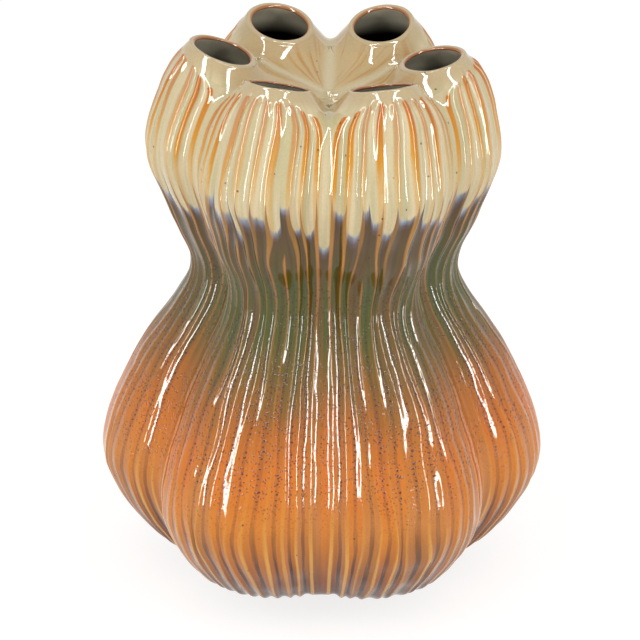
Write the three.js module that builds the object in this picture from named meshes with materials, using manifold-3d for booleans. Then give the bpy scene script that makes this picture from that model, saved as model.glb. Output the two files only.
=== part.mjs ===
// Earthenware vase: six fluted gourd-shaped lobes stand in a ring on a lobed base slab, each a hollow tube
// with a mouth of its own. Luting coils fill the valleys between them and a dished web closes the middle.
// Millimetres, +Z up, the base on z = 0. One valley faces -Y, and lobes stand at 0, 60, 120 degrees and so on.
import * as THREE from "three";
import { mergeVertices } from "three/addons/utils/BufferGeometryUtils.js";
import Module from "manifold-3d";

const wasm = await Module();
wasm.setup();

// Plan of the ring of lobes
const lobeCount = 6;
const footSeamAngle = 106; // opening angle of the bare groove between two lobes at the foot, degrees
const bellySeamAngle = 94;
const seamAngle = 85; // from the hip up to the shoulder
const jointGap = 0.3; // clearance that every joined piece keeps to its neighbours

// Outer reach of a lobe from the vase's axis at each level, and the rise of that level over the one below
const footReach = 50;
const undersideReach = 68;
const undersideRise = 12;
const flareReach = 101;
const flareRise = 13.5;
const bellyReach = 127.3;
const bellyRise = 48.5;
const hipReach = 108.5;
const hipRise = 60;
const waistReach = 77.2;
const waistRise = 53;
const chestReach = 87;
const chestRise = 37.5;
const shoulderReach = 98;
const shoulderRise = 35.5;

// Dome of a lobe, where its section leaves the neighbours: distance of its centre from the axis, and radius
const crownCentre = 54;
const crownRadius = 35.5;
const crownRise = 31;
const mouthCentre = 55.5;
const mouthRadius = 18.7;
const mouthRise = 24;
const mouthTilt = 20; // slope of the mouth down towards the vase's axis, degrees
const boreRadius = 15;
const lipRound = 1.2;

// Walls and joints
const wall = 5;
const flankWall = 4; // flattened side of a lobe, along the seam
const slabThickness = 7;
const ventRadius = 2.5; // lets air out of the closed centre in the kiln
const seamFillet = 6; // radius of the smoothed coil in the valleys
const seamNeck = 3; // width left at the top of a coil, where it crosses between two domes
const seamBite = 0.6; // how far a coil's edges run in under the lobes' skins before they are trimmed
const dishDepth = 23; // from the mouths' centres down to the web's top on the axis
const webRise = 11.5; // rise of the dish from the axis to its edge
const webReach = 43;
const webThickness = 6;

// Flutes
const fluteCount = 13;
const fluteDepth = 1.3;
const flutedHalfAngle = 62; // from a lobe's mid-plane, degrees
const fluteFade = 26; // length over which the flutes die out below the mouth and above the base

// Fineness of the faces
const rowSpacing = 21;
const smoothColumns = 16; // facets round the unfluted side of a lobe
const boreColumns = 14;
const seamColumns = 4;
const dishRings = 3;

const toRadians = THREE.MathUtils.degToRad;
const halfAngle = Math.PI / lobeCount;

// Share of a lobe's reach that its radius takes, for two lobes to meet at a groove of some opening angle
const tubeShare = (angle) => 1 / (1 + Math.cos(toRadians(angle / 2)) / Math.sin(halfAngle));

// Spine of a lobe: x is the distance of the section's centre from the axis, y its radius, z its height
const levels = [
  [footReach, 0, footSeamAngle],
  [undersideReach, undersideRise, footSeamAngle],
  [flareReach, flareRise, footSeamAngle],
  [bellyReach, bellyRise, bellySeamAngle],
  [hipReach, hipRise, seamAngle],
  [waistReach, waistRise, seamAngle],
  [chestReach, chestRise, seamAngle],
  [shoulderReach, shoulderRise, seamAngle],
];
const stations = [];
let height = 0;
for (const [reach, rise, angle] of levels) {
  const radius = reach * tubeShare(angle);
  height += rise;
  stations.push(new THREE.Vector3(reach - radius, radius, height));
}
const shoulderHeight = height;
const crownHeight = shoulderHeight + crownRise;
const mouthHeight = crownHeight + mouthRise;
const webHeight = mouthHeight - dishDepth;
stations.push(new THREE.Vector3(crownCentre, crownRadius, crownHeight));
stations.push(new THREE.Vector3(mouthCentre, mouthRadius, mouthHeight));
const spine = new THREE.CatmullRomCurve3(stations, false, "catmullrom", 0.5);

// Section of a lobe at share t of the spine. lean is the slope that tips it towards the axis.
function sectionAt(t) {
  const { x: centre, y: radius, z } = spine.getPoint(t);
  const lean = Math.tan(toRadians(mouthTilt)) * THREE.MathUtils.smoothstep(z, shoulderHeight, mouthHeight);
  return { t, centre, radius, z, lean };
}

// Lowest share of the spine, from one share on, at which a test first holds, by halving
function firstShare(from, test) {
  let low = from;
  let high = 1;
  for (let step = 0; step < 40; step += 1) {
    const middle = (low + high) / 2;
    if (test(sectionAt(middle))) {
      high = middle;
    } else {
      low = middle;
    }
  }
  return high;
}

const shareAtHeight = (z) => firstShare(0, (section) => section.z >= z);
const slabShare = shareAtHeight(slabThickness);
const lobeShare = shareAtHeight(slabThickness + jointGap);

// Shares of the spine for the rows of a loft: each span between two levels is cut into even steps
function sharesBetween(from, to, spacing = rowSpacing) {
  const spans = stations.length - 1;
  const inside = [];
  for (let span = 0; span < spans; span += 1) {
    const length = stations[span].distanceTo(stations[span + 1]);
    const steps = Math.max(1, Math.round(length / spacing));
    for (let step = 0; step < steps; step += 1) {
      inside.push((span + step / steps) / spans);
    }
  }
  const margin = 0.15 / spans;
  return [from, ...inside.filter((t) => t > from + margin && t < to - margin), to];
}

// Angles round a lobe: crest and groove by turns over the fluted side, then plain facets round the inner side
const fluted = toRadians(flutedHalfAngle);
const fluteStep = (2 * fluted) / fluteCount;
const lobeAngles = [
  ...Array.from({ length: 2 * fluteCount + 1 }, (_, i) => -fluted + (i * fluteStep) / 2),
  ...Array.from({ length: smoothColumns - 1 },
    (_, i) => fluted + ((i + 1) * (2 * Math.PI - 2 * fluted)) / smoothColumns),
];
const evenAngles = (count) => Array.from({ length: count }, (_, i) => (i * 2 * Math.PI) / count);
const boreAngles = evenAngles(boreColumns);

// Ring of a section: a circle moved out to its centre and tipped about it
function ringOf(section, angles, radiusAt, lift = 0) {
  return angles.map((angle) => {
    const radius = radiusAt(angle);
    const across = radius * Math.cos(angle);
    return new THREE.Vector3(
      section.centre + across,
      radius * Math.sin(angle),
      section.z + section.lean * across + lift,
    );
  });
}

// Depth of a flute at an angle: nothing on a crest, full between two, fading at both ends of the lobe
function fluteAt(section, angle) {
  const steps = (angle + fluted) / fluteStep;
  if (steps <= 0 || steps >= fluteCount) {
    return 0;
  }
  const groove = 1 - Math.abs(2 * (steps - Math.floor(steps)) - 1);
  const fadeUp = THREE.MathUtils.smoothstep(section.z, slabThickness, slabThickness + fluteFade);
  const fadeDown = THREE.MathUtils.smoothstep(mouthHeight - section.z, 0, fluteFade);
  return fluteDepth * groove * fadeUp * fadeDown;
}

// Solids

function solidOf(geometry) {
  geometry.deleteAttribute("normal");
  geometry.deleteAttribute("uv");
  const merged = mergeVertices(geometry);
  return new wasm.Manifold(new wasm.Mesh({
    numProp: 3,
    vertProperties: new Float32Array(merged.attributes.position.array),
    triVerts: new Uint32Array(merged.index.array),
  }));
}

function geometryOf(solid) {
  const mesh = solid.getMesh();
  const geometry = new THREE.BufferGeometry();
  geometry.setAttribute("position", new THREE.BufferAttribute(new Float32Array(mesh.vertProperties), 3));
  geometry.setIndex(new THREE.BufferAttribute(new Uint32Array(mesh.triVerts), 1));
  geometry.computeVertexNormals();
  return geometry;
}

// Closed skin through rings of points, lowest ring first, each anticlockwise from above
function loft(rings) {
  const count = rings[0].length;
  const faces = [];
  for (let ring = 0; ring + 1 < rings.length; ring += 1) {
    for (let i = 0; i < count; i += 1) {
      const near = ring * count + i;
      const next = ring * count + ((i + 1) % count);
      faces.push(near, next, next + count, near, next + count, near + count);
    }
  }
  const topStart = (rings.length - 1) * count;
  for (const [a, b, c] of THREE.ShapeUtils.triangulateShape(rings[0], [])) {
    faces.push(c, b, a);
  }
  for (const [a, b, c] of THREE.ShapeUtils.triangulateShape(rings.at(-1), [])) {
    faces.push(topStart + a, topStart + b, topStart + c);
  }
  const geometry = new THREE.BufferGeometry();
  geometry.setFromPoints(rings.flat());
  geometry.setIndex(faces);
  return geometry;
}

// Whole round tube of a lobe, before the seams flatten its sides. swell grows its radius.
function tubeRings(from, to, angles, swell = 0) {
  return sharesBetween(from, to).map((t) => {
    const section = sectionAt(t);
    return ringOf(section, angles, () => section.radius + swell);
  });
}

function flutedRings(from, to) {
  const rings = sharesBetween(from, to).map((t) => {
    const section = sectionAt(t);
    return ringOf(section, lobeAngles, (angle) => section.radius - fluteAt(section, angle));
  });
  const mouth = sectionAt(to);
  rings.push(ringOf(mouth, lobeAngles, () => mouth.radius - lipRound, lipRound));
  return rings;
}

// Hollow of a lobe. Its wall thins to the lip, and it runs out past the foot and the mouth.
function hollowRings(from, to) {
  const lipWall = mouthRadius - boreRadius;
  const sections = sharesBetween(from, to, 1.5 * rowSpacing).map(sectionAt);
  const radiusOf = (section) => {
    const lip = THREE.MathUtils.smoothstep(section.z, shoulderHeight, mouthHeight);
    return section.radius - THREE.MathUtils.lerp(wall, lipWall, lip);
  };
  const rings = sections.map((section) => ringOf(section, boreAngles, () => radiusOf(section)));
  const foot = sections[0];
  const mouth = sections.at(-1);
  rings.unshift(ringOf(foot, boreAngles, () => radiusOf(foot), -wall));
  rings.push(ringOf(mouth, boreAngles, () => boreRadius, wall));
  return rings;
}

// Upright wedge of one lobe's share of the plan, its two faces set back from the seam planes
function wedge(setBack) {
  const apex = setBack / Math.sin(halfAngle);
  const far = 2 * Math.max(bellyReach, mouthCentre + mouthRadius);
  const side = (far - apex) * Math.tan(halfAngle);
  const plan = new THREE.Shape([
    new THREE.Vector2(apex, 0),
    new THREE.Vector2(far, -side),
    new THREE.Vector2(far, side),
  ]);
  const geometry = new THREE.ExtrudeGeometry(plan, { depth: 2 * mouthHeight, bevelEnabled: false });
  return solidOf(geometry.translate(0, 0, -mouthHeight / 2));
}

// Section of the smoothed coil between two lobes: x runs out along the valley, y across it. The outer and the
// inner arc touch both lobes. Below the dish the inner one is a straight line inside the lobes.
function coilRing(section, dished) {
  const offset = section.centre * Math.sin(halfAngle);
  const middle = section.centre * Math.cos(halfAngle);
  const reach = filletReach(section);
  const spread = Math.atan2(offset, reach);
  const side = seamFillet * Math.sin(spread);
  const points = [];
  for (let i = 0; i <= seamColumns; i += 1) {
    const turn = THREE.MathUtils.lerp(-spread, spread, i / seamColumns);
    points.push([middle + reach - seamFillet * Math.cos(turn), seamFillet * Math.sin(turn)]);
  }
  for (let i = 0; i <= seamColumns; i += 1) {
    const turn = THREE.MathUtils.lerp(spread, -spread, i / seamColumns);
    const across = THREE.MathUtils.lerp(side, -side, i / seamColumns);
    points.push(dished
      ? [middle - reach + seamFillet * Math.cos(turn), seamFillet * Math.sin(turn)]
      : [middle, across]);
  }
  return points.map(([x, y]) => new THREE.Vector3(x, y, section.z + section.lean * leverOf(section, x, y)));
}

// Distance of the fillet's centre from the line between the two lobes' centres
function filletReach(section) {
  const offset = section.centre * Math.sin(halfAngle);
  const touching = section.radius - seamBite + seamFillet;
  return Math.sqrt(Math.max(0, touching ** 2 - offset ** 2));
}

// How far a point of the coil lies outside the nearer lobe's centre, along that lobe's own mid-plane
function leverOf(section, x, y) {
  return x * Math.cos(halfAngle) + Math.abs(y) * Math.sin(halfAngle) - section.centre;
}

// Height of the web's top at a distance from the vase's axis
const dishAt = (radius) => webHeight + (webRise * radius) / webReach;

// Whether the coil's inner arc lies above the middle of the web's thickness, at the middle of the valley
function clearsWeb(section) {
  const x = section.centre * Math.cos(halfAngle) - filletReach(section) + seamFillet;
  return section.z + section.lean * leverOf(section, x, 0) >= dishAt(x) - webThickness / 2;
}

// Dished disc of the web, grown all over by a clearance
function webDisc(grow) {
  const reach = webReach + grow;
  const profile = [];
  for (let i = 0; i <= dishRings; i += 1) {
    const radius = (i * reach) / dishRings;
    profile.push(new THREE.Vector2(radius, dishAt(radius) - webThickness - grow));
  }
  for (let i = dishRings; i >= 0; i -= 1) {
    const radius = (i * reach) / dishRings;
    profile.push(new THREE.Vector2(radius, dishAt(radius) + grow));
  }
  const disc = new THREE.LatheGeometry(profile, 4 * lobeCount);
  return solidOf(disc.rotateX(Math.PI / 2));
}

// Pieces

// Lobe standing on the slab, its mid-plane along +X
function makeLobe() {
  const body = solidOf(loft(flutedRings(lobeShare, 1))).intersect(wedge(jointGap / 2));
  const hollow = solidOf(loft(hollowRings(lobeShare, 1))).intersect(wedge(jointGap / 2 + flankWall));
  return body.subtract(hollow);
}

// Lobe at an azimuth, solid and grown by the joint gap, for cutting what meets it
function lobeCutter(azimuth) {
  return solidOf(loft(tubeRings(0, 1, lobeAngles, jointGap)).rotateZ(azimuth));
}

// Coil along +X: up the outer valley, over the saddle and down into the dish as far as the web
function makeSeam() {
  const top = firstShare(
    shareAtHeight(shoulderHeight),
    (section) => filletReach(section) - seamFillet <= seamNeck / 2,
  );
  const dishStart = firstShare(0, clearsWeb);
  const ledge = 0.25 / (stations.length - 1);
  const outer = sharesBetween(lobeShare, dishStart - ledge).map((t) => coilRing(sectionAt(t), false));
  const dished = sharesBetween(dishStart, top).map((t) => coilRing(sectionAt(t), true));
  return solidOf(loft([...outer, ...dished]))
    .subtract(lobeCutter(halfAngle))
    .subtract(lobeCutter(-halfAngle))
    .subtract(webDisc(jointGap));
}

// Web between the lobes' inner sides: a star as seen from above
function makeWeb() {
  let web = webDisc(0);
  for (let i = 0; i < lobeCount; i += 1) {
    web = web.subtract(lobeCutter(2 * i * halfAngle));
  }
  return web;
}

// Base slab: the lobes' lowest stretch, solid, with a disc in the middle and the vent through it
function makeBase() {
  const foot = sectionAt(0);
  const offset = foot.centre * Math.sin(halfAngle);
  const valleyReach = foot.centre * Math.cos(halfAngle) + Math.sqrt(foot.radius ** 2 - offset ** 2);
  const upright = (radius, length) => new THREE.CylinderGeometry(radius, radius, length, 6 * lobeCount)
    .rotateX(Math.PI / 2)
    .translate(0, 0, slabThickness / 2);
  let slab = solidOf(upright(valleyReach, slabThickness));
  for (let i = 0; i < lobeCount; i += 1) {
    slab = slab.add(solidOf(loft(tubeRings(0, slabShare, evenAngles(2 * boreColumns))).rotateZ(2 * i * halfAngle)));
  }
  return slab.subtract(solidOf(upright(ventRadius, 2 * slabThickness)));
}

// Finishes
const bodyGlaze = { color: "#c8752c", roughness: 0.12, metalness: 0 };
const seamGlaze = { color: "#8f7440", roughness: 0.12, metalness: 0 };
const rimGlaze = { color: "#cfc29a", roughness: 0.12, metalness: 0 };
const bareClay = { color: "#c9ab84", roughness: 0.85, metalness: 0 };

const vase = new THREE.Group();

function place(name, geometry, finish, azimuth = 0) {
  const mesh = new THREE.Mesh(geometry, new THREE.MeshStandardMaterial(finish));
  mesh.name = name;
  mesh.rotation.z = azimuth;
  vase.add(mesh);
}

// Azimuth in whole degrees, three digits, for the pieces' names
function bearing(azimuth) {
  return String(Math.round(THREE.MathUtils.radToDeg(azimuth))).padStart(3, "0");
}

place("base_slab", geometryOf(makeBase()), bareClay);
const lobe = geometryOf(makeLobe());
const seam = geometryOf(makeSeam());
for (let i = 0; i < lobeCount; i += 1) {
  const lobeAzimuth = 2 * i * halfAngle;
  const seamAzimuth = lobeAzimuth + halfAngle;
  place(`lobe_${bearing(lobeAzimuth)}`, lobe, bodyGlaze, lobeAzimuth);
  place(`seam_coil_${bearing(seamAzimuth)}`, seam, seamGlaze, seamAzimuth);
}
place("centre_web", geometryOf(makeWeb()), rimGlaze);

export default vase;
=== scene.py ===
import math
import bpy
import bmesh
import numpy as np
from functools import partial
from mathutils import Matrix, Vector


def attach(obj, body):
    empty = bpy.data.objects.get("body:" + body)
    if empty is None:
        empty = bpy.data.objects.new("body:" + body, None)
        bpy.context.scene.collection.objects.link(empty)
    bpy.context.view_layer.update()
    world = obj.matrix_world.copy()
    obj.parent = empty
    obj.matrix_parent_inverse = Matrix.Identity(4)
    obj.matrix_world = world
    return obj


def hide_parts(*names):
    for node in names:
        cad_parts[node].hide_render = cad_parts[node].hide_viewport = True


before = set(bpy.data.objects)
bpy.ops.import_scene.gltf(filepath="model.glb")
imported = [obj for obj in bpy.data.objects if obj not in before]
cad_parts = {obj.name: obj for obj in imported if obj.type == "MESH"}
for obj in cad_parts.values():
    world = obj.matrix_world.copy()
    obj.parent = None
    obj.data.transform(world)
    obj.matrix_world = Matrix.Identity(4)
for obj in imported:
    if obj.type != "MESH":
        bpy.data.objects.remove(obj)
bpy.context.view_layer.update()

# Shapes are worked out in millimetres about the vase's axis and turned to metres when a mesh is made.
mm = 0.001
lobeCount = 6
halfWedge = math.pi / lobeCount
wedgeCos, wedgeSin = math.cos(halfWedge), math.sin(halfWedge)


# Helpers

def smoothStep(value, low, high):
    # 0 below low, 1 above high, 3s^2 - 2s^3 between
    share = np.clip((value - low) / (high - low), 0, 1)
    return share * share * (3 - 2 * share)


def softMin(a, b, width):
    # The lower of two distances, rounded over by width where they are alike: min - h^2 width/4
    overlap = np.maximum(width - np.abs(a - b), 0) / width
    return np.minimum(a, b) - overlap * overlap * width / 4


def turned(points, angle):
    # Points turned about the vertical axis
    c, s = math.cos(angle), math.sin(angle)
    x, y, z = points.T
    return np.stack([x * c - y * s, x * s + y * c, z], axis=-1)


def linearColour(text, mirrored=0.0):
    # sRGB hex text to linear red, green, blue and alpha, less what a gloss mirrors of a white room
    channels = np.array([int(text[i:i + 2], 16) for i in (1, 3, 5)]) / 255
    linear = np.where(channels <= 0.04045, channels / 12.92, ((channels + 0.055) / 1.055) ** 2.4)
    return (*np.maximum(linear - mirrored, 0.003).tolist(), 1.0)


# Form of the vase

form = dict(
    # A level for each row: outer reach of a lobe from the axis, rise over the level below, angle of the
    # groove between two lobes in degrees
    levels=[(50, 0, 106), (68, 12, 106), (101, 13.5, 106), (127.3, 48.5, 94),
            (108.5, 60, 85), (77.2, 53, 85), (87, 37.5, 85), (98, 35.5, 85)],
    crown=(54, 35.5, 31),  # distance of the section's centre from the axis, its radius, its rise
    mouth=(55.5, 18.7, 24),
    mouthTilt=20,          # degrees, down towards the axis
    bore=15.2, lipHeight=1.3, lipRows=9, ringDown=3.5,
    # Rows of the hollow, by distance under the mouth
    hollowRows=[3, 6, 10, 15, 21, 29, 39, 53, 75, 100, 125, 150, 175, 205, 235, 260, 283, 297],
    hollowFloor=4.0,       # height of the hollow's floor over the slab
    hollowBlend=5.0,       # width over which the hollow's walls flow together
    seamBlend=7.0,         # width over which two lobes' skins flow together
    dishDepth=23, dishSlope=0.27, dishBulge=0.4, dishHold=42, dishBlend=7.0, creaseRound=2.5,
    dishCrowding=1.15,     # power that crowds the dish's rows towards the mouths
    webRadius=26, webThickness=6, webGap=3,
    wall=5, flankWall=4.2,
    slabTop=7.1, clayEdge=1.2, apron=2.2, slabGap=0.35, vent=2.5)

reaches, rises, grooveAngles = (np.array(row, float) for row in zip(*form["levels"]))
tubeShares = 1 / (1 + np.cos(np.radians(grooveAngles / 2)) / wedgeSin)
levelHeights = np.cumsum(rises)
shoulderHeight = float(levelHeights[-1])
crownHeight = shoulderHeight + form["crown"][2]
mouthHeight = crownHeight + form["mouth"][2]
dishHeight = mouthHeight - form["dishDepth"]
stations = np.vstack([
    np.column_stack([reaches * (1 - tubeShares), reaches * tubeShares, levelHeights]),
    (*form["crown"][:2], crownHeight), (*form["mouth"][:2], mouthHeight)])


def catmullRom(points, count):
    # Uniform Catmull-Rom curve through points: 1/2 (2b + (c-a)t + (2a-5b+4c-d)t^2 + (3b-a-3c+d)t^3)
    ends = np.vstack([2 * points[0] - points[1], points, 2 * points[-1] - points[-2]])
    along = np.linspace(0, len(points) - 1, count)
    span = np.minimum(along.astype(int), len(points) - 2)
    t = (along - span)[:, None]
    a, b, c, d = (ends[span + i] for i in range(4))
    return 0.5 * (2 * b + (c - a) * t + (2 * a - 5 * b + 4 * c - d) * t ** 2
                  + (3 * b - a - 3 * c + d) * t ** 3)


spine = catmullRom(stations, 2401)
spineSlope = np.gradient(spine[:, 1], spine[:, 2])


def sectionAt(level):
    # Centre distance, radius and lean of a lobe's round section at a level
    centre = np.interp(level, spine[:, 2], spine[:, 0])
    radius = np.interp(level, spine[:, 2], spine[:, 1])
    lean = math.tan(math.radians(form["mouthTilt"])) * smoothStep(level, shoulderHeight, mouthHeight)
    return centre, radius, lean


def tubePoint(level, angle, radius=None):
    # Point of the leaning round tube: out to the centre, round by the angle, up by lean times the offset
    centre, own, lean = sectionAt(level)
    radius = own if radius is None else radius
    across = radius * np.cos(angle)
    return np.stack([centre + across, radius * np.sin(angle), level + lean * across], axis=-1)


def tubeDistance(x, y, z):
    # Distance to the leaning tube: the level solves z = level + lean (x - centre), and the distance is then
    # (offset - radius) / slope
    level = z
    for _ in range(7):
        centre, radius, lean = sectionAt(level)
        level = z - lean * (x - centre)
    slope = np.interp(level, spine[:, 2], spineSlope)
    return (np.hypot(x - centre, y) - radius) / np.sqrt(1 + slope ** 2)


def dishTop(x, y):
    # Star of six convex faces: up from the axis, and up again over a face by bulge (e - e^2 / (reach + 1)),
    # with e the distance in plan from the crease at the seam, both rounded over where they start
    reach = np.hypot(x, y)
    crease = np.abs(x * wedgeSin - np.abs(y) * wedgeCos)
    soft = form["creaseRound"]
    aside = np.sqrt(crease ** 2 + soft ** 2) - soft
    up = np.sqrt(reach ** 2 + (2 * soft) ** 2) - 2 * soft
    return dishHeight + form["dishSlope"] * up + form["dishBulge"] * (aside - aside ** 2 / (reach + 1))


def skinDistance(points):
    # Signed distance to the glazed outside: the least of own lobe, neighbour over the nearer seam and dish,
    # rounded over where they meet
    x, y, z = points.T
    y = np.abs(y)
    c, s = math.cos(2 * halfWedge), math.sin(2 * halfWedge)
    own = tubeDistance(x, y, z)
    neighbour = tubeDistance(x * c + y * s, x * s - y * c, z)
    dish = np.maximum(z - dishTop(x, y), np.hypot(x, y) - form["dishHold"])
    return softMin(softMin(own, neighbour, form["seamBlend"]), dish, form["dishBlend"])


def skinSlope(points, step=0.15):
    # Gradient of the distance, by central differences
    changes = [skinDistance(points + o) - skinDistance(points - o) for o in np.eye(3) * step]
    return np.stack(changes, axis=-1) / (2 * step)


def pushWay(points):
    # Way in which a point is pushed, and what it gains: along the gradient, turned level towards the foot so
    # that rows keep their height
    slope = skinSlope(points)
    way = slope.copy()
    way[:, 2] *= smoothStep(points[:, 2], form["clayEdge"], 30)
    return way, np.maximum((slope * way).sum(1), 0.05)


def ontoSkin(points, onSeam, rounds=4):
    # Newton steps on to the skin, points on a seam plane held to it
    seamSide = np.sign(points[:, 1])
    for _ in range(rounds):
        way, gain = pushWay(points)
        points = points - way * (skinDistance(points) / gain)[:, None]
        out = points[:, 0] * wedgeCos + np.abs(points[:, 1]) * wedgeSin
        held = np.stack([out * wedgeCos, seamSide * out * wedgeSin, points[:, 2]], axis=-1)
        points = np.where(onSeam[:, None], held, points)
    return points


def ontoSkinUpright(plan):
    # Height of the dish over points of the plan, by halving between below and above it
    low = np.full(len(plan), dishHeight - 6.0)
    high = np.full(len(plan), mouthHeight + 8.0)
    for _ in range(26):
        middle = (low + high) / 2
        outside = skinDistance(np.column_stack([plan, middle])) > 0
        high = np.where(outside, middle, high)
        low = np.where(outside, low, middle)
    return np.column_stack([plan, (low + high) / 2])


# Flutes

flutes = dict(
    count=13,
    widest=73, widestBlend=0.12,          # crests run to 73 degrees from a lobe's middle at most
    # Smooth strip left beside each seam, millimetres by level
    strip=[(0, 4.5), (40, 6), (90, 8), (150, 7), (205, 4), (235, 5), (260, 5.5), (300, 5.5)],
    perFlute=10, seamColumns=14, backColumns=48,
    jitter=0.24, wander=0.17,             # shares of the pitch by which crests stand off and wander
    edgeWidth=3.2,                        # width beside the last crest over which the flutes end
    shortCount=3, shortRange=(150, 235), shortSpan=28, shortPull=0.36,  # crests that end below the chest
    # Seed, and the ranges of what is drawn for each crest
    seed=611, waveLengths=(17, 30), heights=(0.75, 1.0), dripCurves=(0.4, 1.6), wear=(0.5, 1.9),
    secondWave=(0.5, 0.37),               # a shorter wave on each crest: its shares of height and length
    # Depth of the grooves, and a power that makes crests broad over 1 and sharp under it, by level
    depth=[(0, 1.0), (20, 1.5), (60, 1.2), (95, 0.75), (140, 0.75), (200, 1.15), (235, 1.6), (262, 1.8),
           (300, 1.6)],
    breadth=[(15, 0.72), (55, 0.72), (105, 0.75), (150, 0.7), (195, 0.6), (232, 0.75), (260, 0.85),
             (300, 0.95)],
    start=6.0, crestStart=(0.5, 4.0))     # lengths below the crown's ring over which grooves and crests begin


def byLevel(key, level):
    # Value of a table of the flutes at a level, eased from one entry to the next
    places, values = zip(*flutes[key])
    fine = np.linspace(places[0], places[-1], 400)
    eased = np.convolve(np.pad(np.interp(fine, places, values), 12, "edge"), np.ones(25) / 25, "valid")
    return np.interp(level, fine, eased)


def seamAngleAt(level):
    # Angle at which the tube meets the seam plane: 120 degrees less acos(centre / 2 radius)
    centre, radius, _ = sectionAt(level)
    return math.pi / 2 + halfWedge - np.arccos(np.minimum(1, centre * wedgeSin / radius))


def shortShare(level, wobble):
    # How far each crest has died out at a level
    start = wobble["shortFrom"]
    return smoothStep(np.asarray(level)[..., None], start, start + flutes["shortSpan"])


def crestAngles(level, wobble):
    # Angle of every crest at every level: steps that close up where a crest has ended, an offset for each
    # crest and two slow waves down the lobe
    level = np.asarray(level, float)
    _, radius, _ = sectionAt(level)
    free = seamAngleAt(level) - byLevel("strip", level) / radius
    half = softMin(free, math.radians(flutes["widest"]), flutes["widestBlend"])
    short = shortShare(level, wobble)
    steps = 1 - flutes["shortPull"] * (short[..., :-1] + short[..., 1:])
    even = np.concatenate([np.zeros((*level.shape, 1)), np.cumsum(steps, axis=-1)], axis=-1)
    even = 2 * even / even[..., -1:] - 1
    offset = flutes["jitter"] * wobble["offset"]
    tall = level[..., None]
    waves = np.sin(tall / wobble["length"] + wobble["phase"])
    heightShare, lengthShare = flutes["secondWave"]
    waves = waves + heightShare * np.sin(tall / (lengthShare * wobble["length"]) + 2 * wobble["phase"])
    waves = flutes["wander"] * waves
    index = np.arange(flutes["count"] + 1)
    calm = 0.1 + 0.9 * np.sqrt(np.maximum(np.sin(np.pi * index / flutes["count"]), 0))
    return half[..., None] * (even + calm * (offset + waves) * 2 / flutes["count"])


def wobbleOf(lobe):
    # Seeded irregularities of one lobe's flutes
    rng = np.random.default_rng(flutes["seed"] + lobe)
    grooves = flutes["count"]
    count = grooves + 1
    wobble = dict(offset=rng.uniform(-1, 1, count), phase=rng.uniform(0, 2 * np.pi, count),
                  length=rng.uniform(*flutes["waveLengths"], count),
                  height=rng.uniform(*flutes["heights"], count),
                  drip=rng.normal(0, 1, grooves), dripCurve=rng.uniform(*flutes["dripCurves"], grooves),
                  wear=np.minimum(rng.uniform(*flutes["wear"], count), 1))
    wobble["wear"][[0, -1]] = 1
    short = 2 + 3 * np.arange(flutes["shortCount"]) + rng.integers(0, 2, flutes["shortCount"])
    wobble["shortFrom"] = np.full(count, 1000.0)
    wobble["shortFrom"][short + 1] = rng.uniform(*flutes["shortRange"], flutes["shortCount"])
    return wobble


# Columns of the outer grid by flute number: whole numbers are grooves' middles, halves are crests,
# past the last crest the number runs on by one over the smooth strip to the seam
fluteEdge = flutes["count"] / 2
easeIn = np.linspace(0, 1, flutes["perFlute"] + 1)[:-1]
fluteColumns = np.concatenate([i - fluteEdge + easeIn for i in range(flutes["count"])] + [[fluteEdge]])
seamSteps = np.linspace(0, 1, flutes["seamColumns"] + 1)[1:]
columns = np.concatenate([-fluteEdge - seamSteps[::-1], fluteColumns, fluteEdge + seamSteps])
outerCount = len(columns)
backCount = flutes["backColumns"]

# Levels of the outer rows, even steps along the lobe's middle and along the seam's valley
rowCount = 250
ringRows = 14
dishRows = 40


def evenLevels(levels, points, count):
    # Levels at even steps of length along a curve
    length = np.concatenate([[0], np.cumsum(np.linalg.norm(np.diff(points, axis=0), axis=1))])
    return np.interp(np.linspace(0, length[-1], count), length, levels)


# The crown's ring starts just under the lip, and the valley where the lobes begin to touch
ringLevel = mouthHeight - form["ringDown"]
touchLevel = float(np.interp(0, (spine[:, 0] * wedgeSin - spine[:, 1])[-500:], spine[-500:, 2]))
footLevel = form["clayEdge"]
middleLevels = np.linspace(ringLevel, footLevel, 2000)
middleLevels = evenLevels(middleLevels, tubePoint(middleLevels, 0.0), rowCount)
valleyLevels = touchLevel - (touchLevel - footLevel) * np.linspace(0, 1, 4000) ** 2
valleyLevels = evenLevels(valleyLevels, tubePoint(valleyLevels, seamAngleAt(valleyLevels)), rowCount)


def pickedAt(values, index):
    # One value of each row, by its index along the last axis
    return np.take_along_axis(values, index[..., None], -1)[..., 0]


def fluteAt(column):
    # Number of the crest to the left of a column, share of the way to the next, and share of the strip
    place = np.clip(column + fluteEdge, 0, flutes["count"] - 1e-9)
    left = place.astype(int)
    return left, place - left, np.clip(np.abs(column) - fluteEdge, 0, 1)


def columnAngles(level, column, wobble):
    # Angle of grid columns at their levels: between crests by shares, past the last crest on to the seam
    crests = crestAngles(level, wobble)
    left, share, beyond = fluteAt(column)
    inner = pickedAt(crests, left) * (1 - share) + pickedAt(crests, left + 1) * share
    edge = np.where(column < 0, crests[..., 0], crests[..., -1])
    seam = np.sign(column) * seamAngleAt(level)
    return np.where(beyond > 0, edge + beyond * (seam - edge), inner)


def outerLevels():
    # Level of every outer grid point: the middle's level, giving way to the valley's towards the seams
    towards = smoothStep(np.abs(columns), 3.5, fluteEdge + 0.9)[None]
    return middleLevels[:, None] * (1 - towards) + valleyLevels[:, None] * towards


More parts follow.
